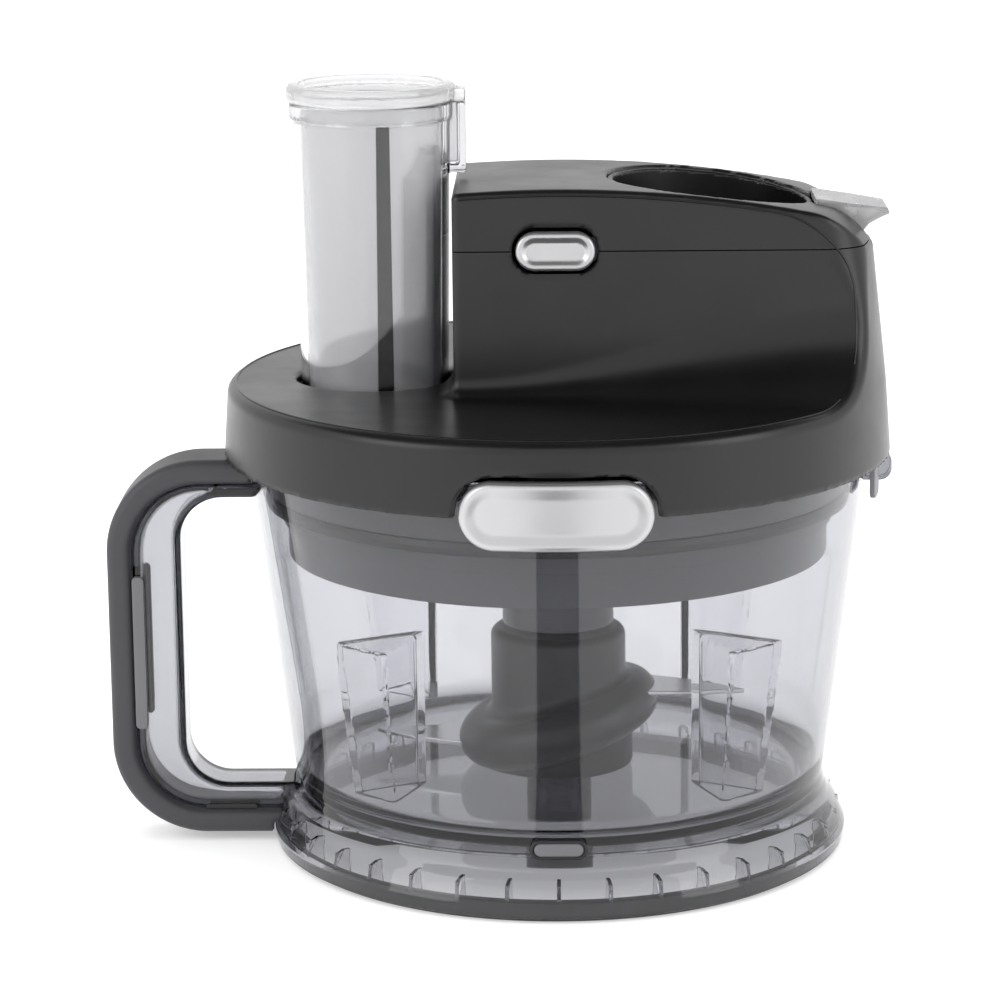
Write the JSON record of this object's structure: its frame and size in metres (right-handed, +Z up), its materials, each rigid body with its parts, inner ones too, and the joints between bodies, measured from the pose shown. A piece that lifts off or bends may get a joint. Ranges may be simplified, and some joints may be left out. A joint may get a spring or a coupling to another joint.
{
  "type": "food processor",
  "caption": "Food processor attachment: clear bowl with side handle, blade on a spindle, and a geared lid with feed tube, pusher and a socket for a hand-blender motor.",
  "frame": {"origin": "on the bowl's axis at table level, at the middle of the base", "axes": "+Z up along the blade's axis, -X towards the handle, -Y towards the two keys at the front"},
  "size_m": [0.238, 0.2023, 0.2325],
  "materials": {
    "smoked_clear": "polished clear smoked plastic",
    "silvered_clear": "clear plastic with a half-mirror sheen",
    "frosted_clear": "clear plastic with a frosted face",
    "steel": "turned steel",
    "knife_steel": "ground stainless steel",
    "grip_charcoal": "fine matte grain",
    "pad_grey": "soft matte",
    "base_rubber": "matte",
    "hub_grey": "satin",
    "collar_grey": "satin",
    "natural_nylon": "satin",
    "lid_charcoal": "fine satin grain",
    "socket_black": "satin",
    "silver_key": "satin silver lacquer"
  },
  "bodies": {
    "bowl_body": {"bowl": "smoked_clear", "wall_baffles": "smoked_clear", "spindle_pin": "steel", "handle_frame": "smoked_clear", "handle_grip": "grip_charcoal", "grip_pads": "pad_grey", "base_ring": "base_rubber", "base_tab": "pad_grey", "rear_lug": "smoked_clear"},
    "blade": {"blade_hub": "hub_grey", "hub_bush": "natural_nylon", "upper_knife": "knife_steel", "lower_knife": "knife_steel"},
    "lid": {"lid_housing": "lid_charcoal", "tower_cap": "lid_charcoal", "lid_inner_cover": "collar_grey", "lid_seal": "base_rubber", "motor_socket": "socket_black", "feed_tube": "smoked_clear", "gear_plate": "natural_nylon", "column_bush": "natural_nylon", "output_top_bush": "natural_nylon", "input_bush": "natural_nylon", "idler_axle": "steel", "cover_screws": "steel", "plate_screws": "steel", "lid_guide_tab": "pad_grey", "lever_pin": "steel"},
    "output_drive": {"output_gear": "natural_nylon", "output_shaft": "steel", "drive_dog": "hub_grey"},
    "idler": {"idler_gear": "natural_nylon"},
    "input_drive": {"input_pinion": "steel", "input_shaft": "steel", "input_coupler": "natural_nylon"},
    "release_key": {"release_button": "silver_key", "release_slide": "hub_grey", "release_spring": "steel"},
    "lid_key": {"lid_button": "silver_key", "latch_slide": "hub_grey", "latch_spring": "steel"},
    "thumb_lever": {"end_lever": "frosted_clear"},
    "pusher": {"pusher": "silvered_clear"}
  },
  "joints": [
    {"name": "blade_spin", "type": "hinge", "parent": "bowl_body", "child": "blade", "pos_m": [0, 0, 0.04], "axis": [0, 0, 1], "continuous": true},
    {"name": "lid_lift", "type": "slide", "parent": "bowl_body", "child": "lid", "axis": [0, 0, 1], "range_m": [0, 0.08]},
    {"name": "output_spin", "type": "hinge", "parent": "lid", "child": "output_drive", "pos_m": [0, 0, 0.13], "axis": [0, 0, 1], "continuous": true},
    {"name": "idler_spin", "type": "hinge", "parent": "lid", "child": "idler", "pos_m": [0.025, 0, 0.14], "axis": [0, 0, 1], "continuous": true},
    {"name": "input_spin", "type": "hinge", "parent": "lid", "child": "input_drive", "pos_m": [0.046, 0, 0.15], "axis": [0, 0, 1], "continuous": true},
    {"name": "pusher_slide", "type": "slide", "parent": "lid", "child": "pusher", "axis": [0, 0, 1], "range_m": [0, 0.095]},
    {"name": "release_press", "type": "slide", "parent": "lid", "child": "release_key", "axis": [0, 1, 0], "range_m": [0, 0.0025], "stiffness_N_per_m": 400, "springref_m": -0.002},
    {"name": "latch_press", "type": "slide", "parent": "lid", "child": "lid_key", "axis": [0, 1, 0], "range_m": [0, 0.002], "stiffness_N_per_m": 600, "springref_m": -0.002},
    {"name": "lever_rock", "type": "hinge", "parent": "lid", "child": "thumb_lever", "pos_m": [0.08677, 0, 0.1904], "axis": [0, 1, 0], "range_deg": [0, 6], "stiffness_Nm_per_rad": 0.1, "springref_deg": -5.73}
  ],
  "couplings": [
    {"joint": "output_spin", "follows": "blade_spin", "ratio": 1},
    {"joint": "idler_spin", "follows": "blade_spin", "ratio": -2.5714},
    {"joint": "input_spin", "follows": "blade_spin", "ratio": 6.4286}
  ]
}
